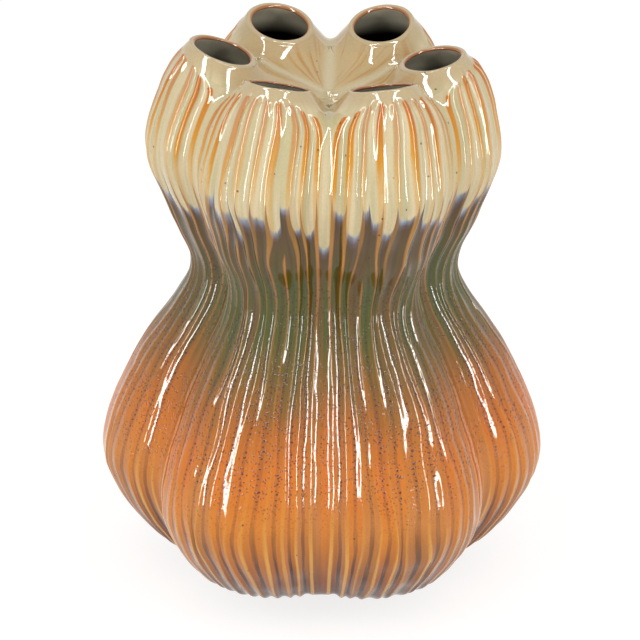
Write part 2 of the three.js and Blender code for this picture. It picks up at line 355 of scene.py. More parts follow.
def fluteShape(level, column, wobble):
    # Height share, 1 on a crest and 0 in a groove's middle: from each crest (1 + cos(pi s^breadth)) / 2, with
    # s the share of the way to the middle, or to a neighbour that has ended; then the share of the smooth
    # strip, and how far the nearer crest is worn
    left, share, beyond = fluteAt(column)
    alive = 1 - shortShare(level, wobble)
    leftAlive, rightAlive = pickedAt(alive, left), pickedAt(alive, left + 1)
    breadth = byLevel("breadth", level)
    leftWay = np.clip(share / (1 - 0.5 * rightAlive), 0, 1)
    rightWay = np.clip((1 - share) / (1 - 0.5 * leftAlive), 0, 1)
    leftPeak = leftAlive * wobble["height"][left] * (1 + np.cos(np.pi * leftWay ** breadth)) / 2
    rightPeak = rightAlive * wobble["height"][left + 1] * (1 + np.cos(np.pi * rightWay ** breadth)) / 2
    _, radius, _ = sectionAt(level)
    last = crestAngles(level, wobble)[..., -1]
    aside = beyond * (seamAngleAt(level) - last) * radius
    outside = smoothStep(aside, 0, flutes["edgeWidth"])
    wear = np.where(share < 0.5, wobble["wear"][left], wobble["wear"][left + 1])
    return np.maximum(leftPeak, rightPeak) * (1 - outside) + outside, outside, wear


def fluteDepth(level, outside, below):
    # Depth of the grooves by level, nothing at the crown's ring and in the strips
    return byLevel("depth", level) * smoothStep(below, 0, flutes["start"]) * (1 - outside)


# Glaze lines that the finish needs at every point of the skin

glazeLine = dict(
    edge=262, edgeByLobe=[-9, 0, 0, -10, 0, 0],       # height on the lobes, millimetres
    tongue=15, spread=2.5, seamTongue=26, seamRound=8,  # lengths of the tongues and of a valley's round end
    dishFrom=(78, 112))  # degrees round a mouth, from its outer side, over which the dish's tan glaze begins


def dripAbove(level, column, wobble, lobe):
    # Height above the cream glaze's lower edge: a round-ended tongue hangs down in each groove and valley
    left, share, beyond = fluteAt(column)
    tongue = (glazeLine["tongue"] * wobble["dripCurve"] + glazeLine["spread"] * wobble["drip"])[left]
    hang = tongue * np.maximum(4 * share * (1 - share), 0) ** 0.25 * (beyond <= 0)
    roundEnd = np.sqrt(np.maximum(1 - ((1 - beyond) / 0.95) ** 2, 0))
    seamHang = glazeLine["seamTongue"] + glazeLine["seamRound"] * roundEnd
    hang = hang + seamHang * smoothStep(beyond, 0.03, 0.2)
    sideLobe = glazeLine["edgeByLobe"][lobe] * smoothStep(1 - beyond, 0, 1)
    return level - glazeLine["edge"] - sideLobe + hang


# Handmade irregularity of the ring: how far each lobe's top and belly stand off the even form

handmade = dict(
    topOut=[1.0, 0.6, 1.0, 4.0, -0.3, 1.4],
    topUp=[-2.2, 1.8, 1.8, 1.9, -1.2, -0.9],
    topRound=[0.5, -1.0, 0.9, 0.0, 0.3, -0.4],
    bellyOut=[0.8, -0.3, 0.6, 1.5, 0.8, 0.9],
    mouthTip=[-8, -2, -1, -2, -4, -5],  # degrees that each mouth tips further up towards the axis
    lean=2.5,                           # sideways lean of the mouths along +X
    # Heights over which each of these sets in, and the distances from a mouth's centre over which a tip ends
    tipHeights=(266, 296), tipEnds=(19, 27), topHeights=(184, 300), bellyLow=(4, 60), bellyHigh=(90, 184),
    leanHeights=(262, 313),
    seed=77, waves=24, waveLengths=(9, 34), waveSlope=0.012, waveHeights=(3, 12))  # ripples of the glaze


def aroundRing(values, azimuth):
    # Trigonometric curve round the ring through one value for each lobe
    values = np.array(values)
    places = np.arange(lobeCount) * 2 * halfWedge
    total = np.full_like(azimuth, values.mean())
    for turn in (1, 2):
        total = total + (values * np.cos(turn * places)).sum() / 3 * np.cos(turn * azimuth)
        total = total + (values * np.sin(turn * places)).sum() / 3 * np.sin(turn * azimuth)
    return total + (values * np.cos(3 * places)).sum() / 6 * np.cos(3 * azimuth)


def tipped(points, lobe):
    # The mouth's end tips about its own centre: up by tan(tip) times the offset, dying out away from it
    x, y, z = points.T
    offset = x - form["mouth"][0]
    near = 1 - smoothStep(np.hypot(offset, y), *handmade["tipEnds"])
    weight = near * smoothStep(z, *handmade["tipHeights"])
    up = math.tan(math.radians(handmade["mouthTip"][lobe])) * weight * offset
    return np.stack([x, y, z + up], axis=-1)


def handShaped(points):
    # Small shifts outwards, up and round, growing from the waist to the mouths, and outwards at the belly
    azimuth = np.arctan2(points[:, 1], points[:, 0])
    reach = np.hypot(points[:, 0], points[:, 1])
    height = points[:, 2]
    top = smoothStep(height, *handmade["topHeights"])
    belly = smoothStep(height, *handmade["bellyLow"]) * (1 - smoothStep(height, *handmade["bellyHigh"]))
    out = top * aroundRing(handmade["topOut"], azimuth) + belly * aroundRing(handmade["bellyOut"], azimuth)
    side = top * aroundRing(handmade["topRound"], azimuth)
    up = top * aroundRing(handmade["topUp"], azimuth)
    calm = np.clip(reach / 30, 0, 1)
    c, s = np.cos(azimuth) * calm, np.sin(azimuth) * calm
    lean = handmade["lean"] * smoothStep(height, *handmade["leanHeights"])
    return points + np.stack([out * c - side * s + lean, out * s + side * c, up], axis=-1)


def ripple(points):
    # Sum of sines through space, each with the same slope: slope length / 2 pi times
    # sin(2 pi p.way / length + phase)
    rng = np.random.default_rng(handmade["seed"])
    total = np.zeros(len(points))
    for _ in range(handmade["waves"]):
        way = rng.normal(size=3)
        length = rng.uniform(*handmade["waveLengths"])
        turn = points @ (way / np.linalg.norm(way)) * (2 * np.pi / length) + rng.uniform(0, 2 * np.pi)
        total = total + handmade["waveSlope"] * length / (2 * np.pi) * np.sin(turn)
    return total * smoothStep(points[:, 2], *handmade["waveHeights"])


# Grids

def gridFaces(first, closed=False):
    # Quads between the rows of an index grid
    right = np.roll(first, -1, axis=1) if closed else first[:, 1:]
    left = first if closed else first[:, :-1]
    return np.stack([left[:-1], left[1:], right[1:], right[:-1]], axis=-1).reshape(-1, 4)


def plainValues(count, **starts):
    # For each kind of value, the same number at every point
    return {key: np.full(count, float(start)) for key, start in starts.items()}


def makeLobe(lobe):
    # One lobe's skin as a closed wedge: crown ring, outside, dish, lip, hollow, flanks and underside
    wobble = wobbleOf(lobe)
    level = outerLevels()
    column = np.broadcast_to(columns, level.shape)
    angle = columnAngles(level, column, wobble)
    outer = tubePoint(level, angle)
    onSeam = np.zeros(level.shape, bool)
    onSeam[:, [0, -1]] = True

    # Ring of the crown: from the lip down to the wavy row that touches the seams at the saddles
    backShare = np.arange(1, backCount) / backCount
    backAngle = angle[0, -1] + backShare * (2 * math.pi - 2 * angle[0, -1])
    dip = np.sin(np.pi * backShare) ** 2
    backLevel = level[0, -1] * (1 - dip) + ringLevel * dip
    rimAngle = np.concatenate([angle[0], backAngle])
    rimLevel = np.concatenate([level[0], backLevel])
    down = np.linspace(0, 1, ringRows + 1)[:, None]
    ringLevels = mouthHeight + (rimLevel - mouthHeight) * down
    ring = tubePoint(ringLevels, np.broadcast_to(rimAngle, ringLevels.shape))
    ringOnSeam = np.zeros(ringLevels.shape, bool)
    ringOnSeam[-1, [0, outerCount - 1]] = True

    outerFlat = ontoSkin(outer.reshape(-1, 3), onSeam.ravel())
    ringFlat = ontoSkin(ring.reshape(-1, 3), ringOnSeam.ravel())
    outer = outerFlat.reshape(outer.shape)
    ring = ringFlat.reshape(ring.shape)
    ring[0] = tubePoint(ringLevels[0], rimAngle)
    ring[-1, :outerCount] = outer[0]

    # Dish: straight lines in plan from the ring's inner side to the web's edge
    inner = np.vstack([ring[-1, outerCount - 1:], ring[-1, :1]])
    edgeAzimuth = halfWedge * (1 - 2 * np.arange(backCount + 1) / backCount)
    edge = form["webRadius"] * np.stack([np.cos(edgeAzimuth), np.sin(edgeAzimuth)], axis=-1)
    inward = (np.linspace(0, 1, dishRows + 1)[1:] ** form["dishCrowding"])[:, None, None]
    plan = inner[None, :, :2] * (1 - inward) + edge[None] * inward
    dish = ontoSkinUpright(plan.reshape(-1, 2)).reshape(dishRows, backCount + 1, 3)

    # Flutes are pressed in along the normal
    normals, _ = pushWay(outer.reshape(-1, 3))
    normals /= np.linalg.norm(normals, axis=1)[:, None]
    shape, outside, wear = fluteShape(level, column, wobble)
    below = np.linalg.norm(outer - outer[:1], axis=-1)
    pressed = fluteDepth(level, outside, below) * (1 - shape)
    outer = outer - normals.reshape(outer.shape) * pressed[..., None]

    # Lip and hollow
    turn = np.linspace(0, math.pi, form["lipRows"] + 1)[1:, None]
    lipWidth = form["mouth"][1] - form["bore"]
    lipRadius = form["mouth"][1] - lipWidth * (1 - np.cos(turn)) / 2
    lip = tubePoint(np.full((form["lipRows"], 1), mouthHeight), rimAngle[None], lipRadius)
    lip[..., 2] += form["lipHeight"] * np.sin(turn)
    hollowLevels = mouthHeight - np.array(form["hollowRows"])
    hollowLevels = np.append(hollowLevels, form["slabTop"] + form["hollowFloor"])[:, None]
    centre, radius, _ = sectionAt(hollowLevels)
    lipWall = lipWidth + (form["wall"] - lipWidth) * smoothStep(mouthHeight - hollowLevels, 2, 40)
    fromMiddle = np.abs(((rimAngle + math.pi) % (2 * math.pi)) - math.pi)
    towards = np.maximum(np.cos(fromMiddle - 2 * math.pi / 3), 0.08)
    flank = (centre * wedgeSin - form["flankWall"]) / towards[None]
    back = (centre - form["webRadius"] - form["webGap"]) / np.maximum(-np.cos(rimAngle), 0.08)[None]
    within = softMin(softMin(radius - lipWall, flank, form["hollowBlend"]), back, form["hollowBlend"])
    within = within * np.ones((1, len(rimAngle)))
    hollow = tubePoint(hollowLevels, rimAngle[None], within)

    # Underside: an apron round the base slab, and the shaft behind the flanks
    foot = outer[-1]
    footFlat = outerFlat.reshape(rowCount, outerCount, 3)[-1]
    along = np.gradient(footFlat[:, :2], axis=0)
    along[0], along[-1] = (wedgeSin, wedgeCos), (-wedgeSin, wedgeCos)
    inwards = np.stack([-along[:, 1], along[:, 0]], axis=-1)
    inwards /= np.linalg.norm(inwards, axis=1)[:, None]
    inset = footFlat[:, :2] + inwards * form["apron"]
    apron = np.stack([np.column_stack([inset, np.full(outerCount, height)])
                      for height in (foot[0, 2], form["slabTop"])])
    shaft = np.column_stack([edge, np.full(backCount + 1, form["slabTop"])])[None]

    # Numbers of the points, faces between the rows, and flat faces for flanks, underside and hollow's floor
    blocks = [ring, outer[1:], dish, lip, hollow, apron, shaft]
    points = np.vstack([block.reshape(-1, 3) for block in blocks])
    numbers = np.split(np.arange(len(points)), np.cumsum([block.size // 3 for block in blocks])[:-1])
    ringIds, outerIds, dishIds, lipIds, hollowIds, apronIds, shaftIds = (
        ids.reshape(block.shape[:2]) for ids, block in zip(numbers, blocks))
    outerIds = np.vstack([ringIds[-1, :outerCount], outerIds])
    dishIds = np.vstack([np.append(ringIds[-1, outerCount - 1:], ringIds[-1, 0]), dishIds])
    lipIds = np.vstack([ringIds[0], lipIds])
    hollowIds = np.vstack([lipIds[-1], hollowIds])
    shown = [gridFaces(ringIds, closed=True), gridFaces(outerIds), gridFaces(dishIds),
             gridFaces(lipIds, closed=True)[:, ::-1], gridFaces(hollowIds, closed=True)[:, ::-1]]
    hidden = [gridFaces(np.vstack([outerIds[-1:], apronIds])), gridFaces(np.vstack([dishIds[-1:], shaftIds]))]
    flanks = [[*outerIds[:, near], *apronIds[:, near], shaftIds[0, far], *dishIds[:0:-1, far]]
              for near, far in ((-1, 0), (0, -1))]
    polygons = [*flanks, [*apronIds[1], *shaftIds[0]], list(hollowIds[-1])]

    # Values for the finish: height share of the crests, how far they are worn, height over the cream's edge,
    # length down from the lip's top and negative in the bore, smooth zones, the dish, distance to its crease
    values = plainValues(len(points), crest=0, worn=0, drip=60, down=400, strip=0, dished=0, crease=40,
                         flute=0, length=0)
    strip, down = values["strip"], values["down"]
    values["crest"][outerIds] = shape * (1 - outside) * smoothStep(below, *flutes["crestStart"])
    values["worn"][outerIds] = wear
    values["drip"][outerIds] = dripAbove(level, column, wobble, lobe)
    down[ringIds] = np.linalg.norm(ring - ring[:1], axis=-1) + 2
    down[dishIds[1:]] = 30.0
    down[outerIds] = np.maximum(mouthHeight - level, down[ringIds[-1, :outerCount]])
    down[lipIds[1:]] = np.linspace(2.0, -2.0, form["lipRows"] + 2)[1:-1, None]
    down[hollowIds[1:]] = (hollowLevels - mouthHeight - 2.0) * np.ones((1, len(rimAngle)))
    strip[dishIds] = 1
    strip[ringIds[:, outerCount:]] = 1
    strip[outerIds] = np.maximum(outside, strip[outerIds])
    turnBack = np.pi - np.abs(np.pi - rimAngle % (2 * np.pi))
    values["dished"][dishIds] = 1
    values["dished"][ringIds] = smoothStep(turnBack, *np.radians(glazeLine["dishFrom"]))
    planX, planY = points[:, 0], np.abs(points[:, 1])
    top = np.concatenate([ringIds.ravel(), dishIds.ravel()])
    values["crease"][top] = (planX * wedgeSin - planY * wedgeCos)[top]
    back = np.linspace(columns[-1], columns[0], backCount + 1)[1:-1]
    values["flute"][ringIds] = np.concatenate([columns, back])
    values["flute"][outerIds] = column
    values["length"][ringIds] = ringLevels
    values["length"][outerIds] = level
    uv = np.stack([values.pop("flute") + 20 * lobe, values.pop("length")], axis=-1)

    def shaped(local):
        return handShaped(turned(tipped(local, lobe), lobe * 2 * halfWedge))

    return dict(name=f"lobe_skin_{lobe * 60:03d}", points=shaped(points),
                shown=np.vstack(shown), hidden=np.vstack(hidden), polygons=polygons,
                values=values, uv=uv, foot=shaped(foot), footFlat=shaped(footFlat))


def makeWeb():
    # Middle of the dish: rings of points over the skin's height, with a flat underside
    around = lobeCount * backCount
    azimuth = halfWedge - np.arange(around) * 2 * math.pi / around
    shares = np.linspace(1, 0, 16)[:-1]
    radii = form["webRadius"] * shares
    folded = (azimuth + halfWedge) % (2 * halfWedge) - halfWedge
    folded[::backCount] = halfWedge
    plan = (radii[:, None, None] * np.stack([np.cos(folded), np.sin(folded)], axis=-1)[None]).reshape(-1, 2)
    heights = ontoSkinUpright(plan)[:, 2].reshape(len(radii), around)
    top = np.stack([radii[:, None] * np.cos(azimuth), radii[:, None] * np.sin(azimuth), heights], axis=-1)
    peak = ontoSkinUpright(np.zeros((1, 2)))
    under = np.column_stack([top[0, :, :2], np.full(around, dishHeight - form["webThickness"])])
    count = around * len(radii)
    topIds = np.arange(count).reshape(len(radii), around)
    peakId = count
    underIds = count + 1 + np.arange(around)
    fan = np.column_stack([np.roll(topIds[-1], -1), topIds[-1], np.full(around, peakId)])
    points = np.vstack([top.reshape(-1, 3), peak, under])
    values = plainValues(len(points), crest=0, worn=0, drip=60, down=30, strip=1, dished=1, crease=0)
    values["crease"][topIds] = radii[:, None] * np.abs(np.sin(halfWedge - np.abs(folded)))
    return dict(name="dish_web", points=handShaped(points), shown=gridFaces(topIds, closed=True), fan=fan,
                hidden=gridFaces(np.vstack([underIds, topIds[0]]), closed=True), polygons=[list(underIds)],
                values=values, uv=np.zeros((len(points), 2)))


def makeBase(lobes):
    # Clay slab under the lobes: its rim follows their fluted foot, and a vent runs through the middle
    step = 2
    outline = np.vstack([lobe["foot"][:-1:step] for lobe in lobes])[:, :2]
    plain = np.vstack([lobe["footFlat"][:-1:step] for lobe in lobes])[:, :2]

    def insetBy(curve, amount):
        along = np.roll(curve, -1, axis=0) - np.roll(curve, 1, axis=0)
        inwards = np.stack([-along[:, 1], along[:, 0]], axis=-1)
        return curve + amount * inwards / np.linalg.norm(inwards, axis=1)[:, None]

    gap = form["slabGap"]
    around = len(outline)
    azimuth = np.arctan2(plain[:, 1], plain[:, 0])
    vent = form["vent"] * np.stack([np.cos(azimuth), np.sin(azimuth)], axis=-1)
    inner = insetBy(plain, form["apron"] + gap)
    edge = form["clayEdge"] - 0.15
    rows = [(vent, 0.0), (insetBy(outline, gap + 0.9), 0.0), (insetBy(outline, gap + 0.15), 0.35),
            (insetBy(outline, gap), edge), (inner, edge), (inner, form["slabTop"] - gap / 2),
            (vent, form["slabTop"] - gap / 2)]
    grid = np.stack([np.column_stack([curve, np.full(around, height)]) for curve, height in rows])
    ids = np.arange(grid.shape[0] * around).reshape(grid.shape[:2])
    faces = gridFaces(np.vstack([ids, ids[:1]]), closed=True)
    return dict(name="foot_slab", points=grid.reshape(-1, 3), faces=faces)


def turnOutwards(mesh):
    # Faces of a closed mesh all made to point out
    shell = bmesh.new()
    shell.from_mesh(mesh)
    bmesh.ops.recalc_face_normals(shell, faces=shell.faces)
    shell.to_mesh(mesh)
    shell.free()


def intoScene(name, data):
    # An object of the scene that shows a mesh, a light or a camera
    shown = bpy.data.objects.new(name, data)
    bpy.context.scene.collection.objects.link(shown)
    return shown


def addPiece(name, points, faces, material):
    mesh = bpy.data.meshes.new(name)
    mesh.from_pydata((points * mm).tolist(), [], faces)
    turnOutwards(mesh)
    mesh.validate(verbose=False)
    mesh.materials.append(material)
    return intoScene(name, mesh)


def faceVectors(points, faces):
    # Cross product of a face's diagonals: its normal, as long as twice its area
    corners = points[faces]
    across = corners[:, 2] - corners[:, 0]
    other = corners[:, 3] - corners[:, 1] if faces.shape[1] == 4 else corners[:, 2] - corners[:, 1]
    return np.cross(across, other)


def sharedNormals(parts):
    # Point normals summed over the shown faces of all pieces, so that the light runs over their borders
    stacked = np.vstack([part["points"] for part in parts])
    _, same = np.unique(np.round(stacked, 3), axis=0, return_inverse=True)
    same = same.ravel()
    total = np.zeros((same.max() + 1, 3))
    start = 0
    for part in parts:
        for faces in [part["shown"]] + ([part["fan"]] if "fan" in part else []):
            vectors = faceVectors(part["points"], faces)
            for corner in range(faces.shape[1]):
                np.add.at(total, same[start + faces[:, corner]], vectors)
        part["same"] = same[start:start + len(part["points"])]
        start += len(part["points"])
    for part in parts:
        normals = total[part["same"]]
        size = np.linalg.norm(normals, axis=1)
        plain = size < 1e-9
        size[plain] = 1
        part["normals"] = normals / size[:, None]
        part["normals"][plain] = (0, 0, -1)
        part["seen"] = ~plain


# Finishes

def newMaterial(name):
    # An empty material, and the function that adds nodes to it
    material = bpy.data.materials.new(name)
    material.use_nodes = True
    material.node_tree.nodes.clear()
    return material, partial(addNode, material.node_tree)


def addNode(tree, kind, inputs=None, out=0, **settings):
    # A node with its settings, its inputs set to values or linked to sockets; gives back one of its outputs
    node = tree.nodes.new("ShaderNode" + kind)
    for key, value in settings.items():
        setattr(node, key, value)
    for key, value in (inputs or {}).items():
        if isinstance(value, bpy.types.NodeSocket):
            tree.links.new(value, node.inputs[key])
        else:
            node.inputs[key].default_value = value
    return node.outputs[out] if len(node.outputs) else node


def setStops(socket, stops, ends, mirrored):
    # Colours of the ramp that a socket comes from: each stop is a place, counted between the ramp's two ends,
    # and a hex colour or a share of white
    ramp = socket.node.color_ramp
    while len(ramp.elements) > 1:
        ramp.elements.remove(ramp.elements[-1])
    for i, (place, colour) in enumerate(stops):
        share = (place - ends[0]) / (ends[1] - ends[0])
        element = ramp.elements[0] if i == 0 else ramp.elements.new(share)
        element.position = share
        element.color = linearColour(colour, mirrored) if isinstance(colour, str) else (*[colour] * 3, 1)


glazes = dict(
    mirrored=0.042,  # share of a white room that the glass mirrors, taken off each colour as seen
    # Colours of the grooves in two tints and of the crests, by height in millimetres
    rampTop=320.0,
    olive=[(0, "#44301f"), (22, "#724822"), (48, "#b16c2b"), (78, "#dc8838"), (110, "#dc7e20"),
           (136, "#b6702a"), (155, "#82672a"), (176, "#61652e"), (205, "#5c6234"), (225, "#6a5a3c"),
           (250, "#64503a")],
    mauve=[(0, "#463122"), (22, "#6e4926"), (50, "#a96c38"), (85, "#cf884c"), (118, "#cc7c3c"),
           (142, "#a5703f"), (166, "#7d6540"), (205, "#6e5b3c"), (250, "#644f3a")],
    crest=[(0, "#a87c3c"), (22, "#dba452"), (60, "#e8b058"), (100, "#dc9440"), (140, "#bd8038"),
           (180, "#a9784a"), (215, "#b98050"), (238, "#d0944a"), (258, "#dca548"), (280, "#d99936"),
           (297, "#d08820"), (310, "#c6781a")],
    # How much of a crest shows its colour, by height
    crestShown=[(0, 0.7), (20, 1.0), (60, 0.9), (88, 0.5), (125, 0.4), (165, 0.6), (205, 0.85), (228, 0.9),
                (246, 0.5), (262, 0.5), (278, 1.0)],
    # Below the cream's edge, by distance from it in millimetres
    halo=[(-22, "#6a603e"), (-13, "#67563a"), (-5, "#66523f"), (-1.6, "#6f6264"), (1, "#8e94a4"),
          (3.4, "#b2bcbe"), (6.6, "#cdd0bb")],
    colours=dict(
        cream="#dfcea8", creamGreen="#ccc198", dish="#cdb384", dishPale="#d9cdaa", amber="#bd8530",
        # The pale cream inside the lip is lightened as painted light; the near-black deeper in the bore is
        # painted shade
        rim="#c6b08a", lipLine="#b0682a", insideTop="#efe8ce", inside="#22170f", iron="#604220",
        # The dark brown of the groove bottoms is glaze pooled there and painted shade together
        poolAndShade="#382412"),
    # Streaks about 3 mm and 1 mm wide: turns across a flute, turns down a millimetre, turns in the dish
    streaks=[(2.0, 0.016, 1.0), (6.0, 0.05, 3.0)],
    dishTurns=(14, 9),  # turns of a streak in the dish along a metre, and round a radian
    streakShift=0.050, blotchShift=0.024,  # metres by which they move the borders between colours
    noises=dict(blotch=(28, 3), grain=(900, 2), speckPatch=(60, 2), ironPatch=(95, 2)),  # scale and detail
    specks=560, ironSpecks=150,  # cells a metre
    dotStep=2.9, pitch=7.5,      # millimetres between two dots of a row, and between two rows
    dotSize=(0.34, 0.30),        # spread and least radius of a dot, millimetres
    # How strong each part of the pattern is
    strong=dict(poolAndShade=0.85, dot=0.9, speck=0.8, dishStreak=0.65, rare=0.8, lipLine=0.85),
    # Where each part of the pattern comes in: from and to, then the share at each end where it isn't 0 and 1.
    # Heights are in metres, and lengths beside the lip, the cream's edge and the crease in millimetres
    spans=dict(
        # Pooled glaze and painted shade darken the groove bottoms, most towards the foot
        tint=(1.05, 1.55), poolAndShade=(0.27, 0.17), poolAndShadeLow=(0.125, 0.075, 0.3), offStrip=(0.5, 0.0),
        dot=(1.2, 0.75), dotFrom=(0.080, 0.105), dotTo=(0.204, 0.180), onFlute=(0.5, 0.2),
        speck=(0.36, 0.20), speckPatch=(0.30, 0.56), speckFrom=(0.060, 0.120), speckTo=(0.225, 0.190),
        creamGreen=(0.38, 0.62), dishStreak=(0.50, 0.64), besideCrease=(2.0, 3.5),
        creasePale=(5.0, 0.5, 0.0, 0.75), rim=(17.0, 8.0), rimShare=(0.0, 1.0, 0.8, 0.45),
        haloWide=(0.35, 0.65, 0.6, 1.5), haloShown=(-22, -6), haloShare=(0.4, 0.6, 0.55), cream=(2.0, 4.6),
        broad=(0.225, 0.255, 0.0, 0.20), onCrest=(0.74, 1.02), rare=(0.12, 0.07), rarePatch=(0.50, 0.58),
        # Down the bore: the lip's amber line, cream lightened as painted light, then painted shade deeper in
        lineFrom=(0.0, -0.8), lineTo=(-2.6, -1.7), insideTop=(-1.0, -2.2), inside=(-12.0, -24.0),
        grain=(0.4, 0.8, 0.0, 0.10)),
    bumps=dict(blotch=(0.10, 0.0004), dots=(0.60, 0.0003)),  # strength, and depth in metres
    roughness=0.05, ior=1.52)


def spanOf(key, value):
    # Inputs for a range of the glaze's pattern: the value, the limits and the shares
    return {0: value, **dict(enumerate(glazes["spans"][key], 1))}


def makeGlaze(name):
    # Earthenware glaze, brushed in layers and run: glassy and wet to the eye, thin and amber on the crests,
    # cream where it pooled at the top, green at the waist, orange with iron dots over the belly
    material, node = newMaterial(name)
    smooth = dict(interpolation_type="SMOOTHSTEP")
    blend = dict(data_type="RGBA", out=2)
    times = dict(operation="MULTIPLY")
    plus = dict(operation="ADD")
    timesPlus = dict(operation="MULTIPLY_ADD")
    strong, mirrored = glazes["strong"], glazes["mirrored"]
    colours = {key: linearColour(text, mirrored) for key, text in glazes["colours"].items()}
    crest, worn, drip, down, strip, dished, crease = (
        node("Attribute", attribute_name=key, out="Fac")
        for key in ("crest", "worn", "drip", "down", "strip", "dished", "crease"))
    place = node("TexCoord", out="Object")
    height = node("SeparateXYZ", {0: place}, out=2)
    flute = node("UVMap", uv_map="flutes")

    # Streaks run down the flutes; in the strips and the dish they run from the axis outwards
    along, around = glazes["dishTurns"]
    unit = node("VectorMath", {0: place, 1: (1, 1, 0)}, **times)
    unit = node("VectorMath", {0: unit}, operation="NORMALIZE")
    unit = node("VectorMath", {0: unit, 1: [around] * 3}, **times)
    radial = node("VectorMath", {0: place, 1: [along] * 3, 2: unit}, **timesPlus)
    streaks = []
    for across, downwards, stretch in glazes["streaks"]:
        fluted = node("Mapping", {"Vector": flute, "Scale": (across, downwards, 1)})
        outwards = node("VectorMath", {0: radial, 3: stretch}, operation="SCALE")
        vector = node("Mix", {0: strip, 4: fluted, 5: outwards}, data_type="VECTOR", out=1)
        streaks.append(node("TexNoise", {"Vector": vector, "Scale": 1.0, "Detail": 3.0}))
    streak, fineStreak = streaks
    blotch, grain, speckPatch, ironPatch = (
        node("TexNoise", {"Vector": place, "Scale": scale, "Detail": detail})
        for scale, detail in glazes["noises"].values())

    # Height with streaked borders drives the colour ramps
    shifted = node("Math", {0: streak, 1: glazes["streakShift"], 2: height}, **timesPlus)
    shifted = node("Math", {0: blotch, 1: glazes["blotchShift"], 2: shifted}, **timesPlus)
    meanShift = (glazes["streakShift"] + glazes["blotchShift"]) / 2
    upwards = node("MapRange", {0: shifted, 1: meanShift, 2: meanShift + glazes["rampTop"] * mm})
    ramps = {}
    for key in ("olive", "mauve", "crest", "crestShown"):
        ramps[key] = node("ValToRGB", {0: upwards})
        setStops(ramps[key], glazes[key], (0, glazes["rampTop"]), mirrored)

    # Zones that come straight from one value
    sources = dict(
        poolAndShadeLow=shifted, offStrip=strip, dotFrom=height, dotTo=height, onFlute=strip, speckPatch=speckPatch,
        speckFrom=height, speckTo=height, creamGreen=streak, besideCrease=crease, creasePale=crease,
        broad=height, rarePatch=ironPatch, lineFrom=down, lineTo=down, insideTop=down, inside=down)
    zone = {key: node("MapRange", spanOf(key, value), **smooth) for key, value in sources.items()}

    # Each groove has its own tint
    grooveCell = node("VectorMath", {0: flute, 1: (0.5, 0, 0)}, **plus)
    grooveNumber = node("VectorMath", {0: grooveCell, 1: (1, 0, 0)}, **times)
    grooveNumber = node("VectorMath", {0: grooveNumber}, operation="FLOOR")
    grooveChance = node("TexWhiteNoise", {"Vector": grooveNumber})
    tint = node("Math", {0: streak, 1: 1.2, 2: grooveChance}, **timesPlus)

    # Iron dots about 1 mm across in a row down every groove, and finer specks around them
    cell = node("VectorMath", {0: grooveCell, 1: (1.0, 1 / glazes["dotStep"], 1.0)}, **times)
    corner = node("VectorMath", {0: cell}, operation="FLOOR")
    chanceColour = node("TexWhiteNoise", {"Vector": corner}, out="Color")
    chance = chanceColour.node.outputs["Value"]
    jitter = node("VectorMath", {0: chanceColour, 1: (-0.16, -0.5, 0), 2: (-0.42, -0.25, 0)}, **timesPlus)
    within = node("VectorMath", {0: cell}, operation="FRACTION")
    within = node("VectorMath", {0: within, 1: jitter}, **plus)
    within = node("VectorMath", {0: within, 1: (glazes["pitch"], glazes["dotStep"], 0)}, **times)
    reach = node("VectorMath", {0: within}, operation="LENGTH", out="Value")
    size = node("Math", {0: chance, 1: glazes["dotSize"][0], 2: glazes["dotSize"][1]}, **timesPlus)
    dot = node("Math", {0: reach, 1: size}, operation="DIVIDE")
    speck = node("TexVoronoi", {"Vector": place, "Scale": glazes["specks"]})
    rare = node("TexVoronoi", {"Vector": place, "Scale": glazes["ironSpecks"]})

    # Glaze pooled dark in the narrow bottoms of the grooves, darkened further there as painted shade, thin
    # over the crests, streaked in the dish
    poolAndShade = node("Math", {0: fineStreak, 1: 0.30, 2: crest}, **timesPlus)
    onCrest = node("Math", {0: fineStreak, 1: 0.36, 2: crest}, **timesPlus)
    onCrest = node("Math", {0: onCrest, 1: zone["broad"]}, **plus)
    fine = node("Math", {0: fineStreak, 1: 0.2}, **times)
    dishStreak = node("Math", {0: streak, 1: 0.8, 2: fine}, **timesPlus)
    rim = node("Math", {0: blotch, 1: 7.0, 2: down}, **timesPlus)
    rimSpan = {**spanOf("rim", rim), 4: node("MapRange", spanOf("rimShare", dished))}

    # The cream ends in tongues with a blue and lavender halo over a dark band
    edge = node("Math", {0: fineStreak, 1: 5.0, 2: drip}, **timesPlus)
    edge = node("Math", {0: edge, 1: -2.5}, **plus)
    edge = node("Math", {0: edge, 1: node("MapRange", spanOf("haloWide", blotch))}, operation="DIVIDE")
    haloEnds = glazes["halo"][0][0], glazes["halo"][-1][0]
    halo = node("ValToRGB", {0: node("MapRange", {0: edge, 1: haloEnds[0], 2: haloEnds[1]})})
    setStops(halo, glazes["halo"], haloEnds, mirrored)
    haloSpan = {**spanOf("haloShown", edge), 4: node("MapRange", spanOf("haloShare", streak))}

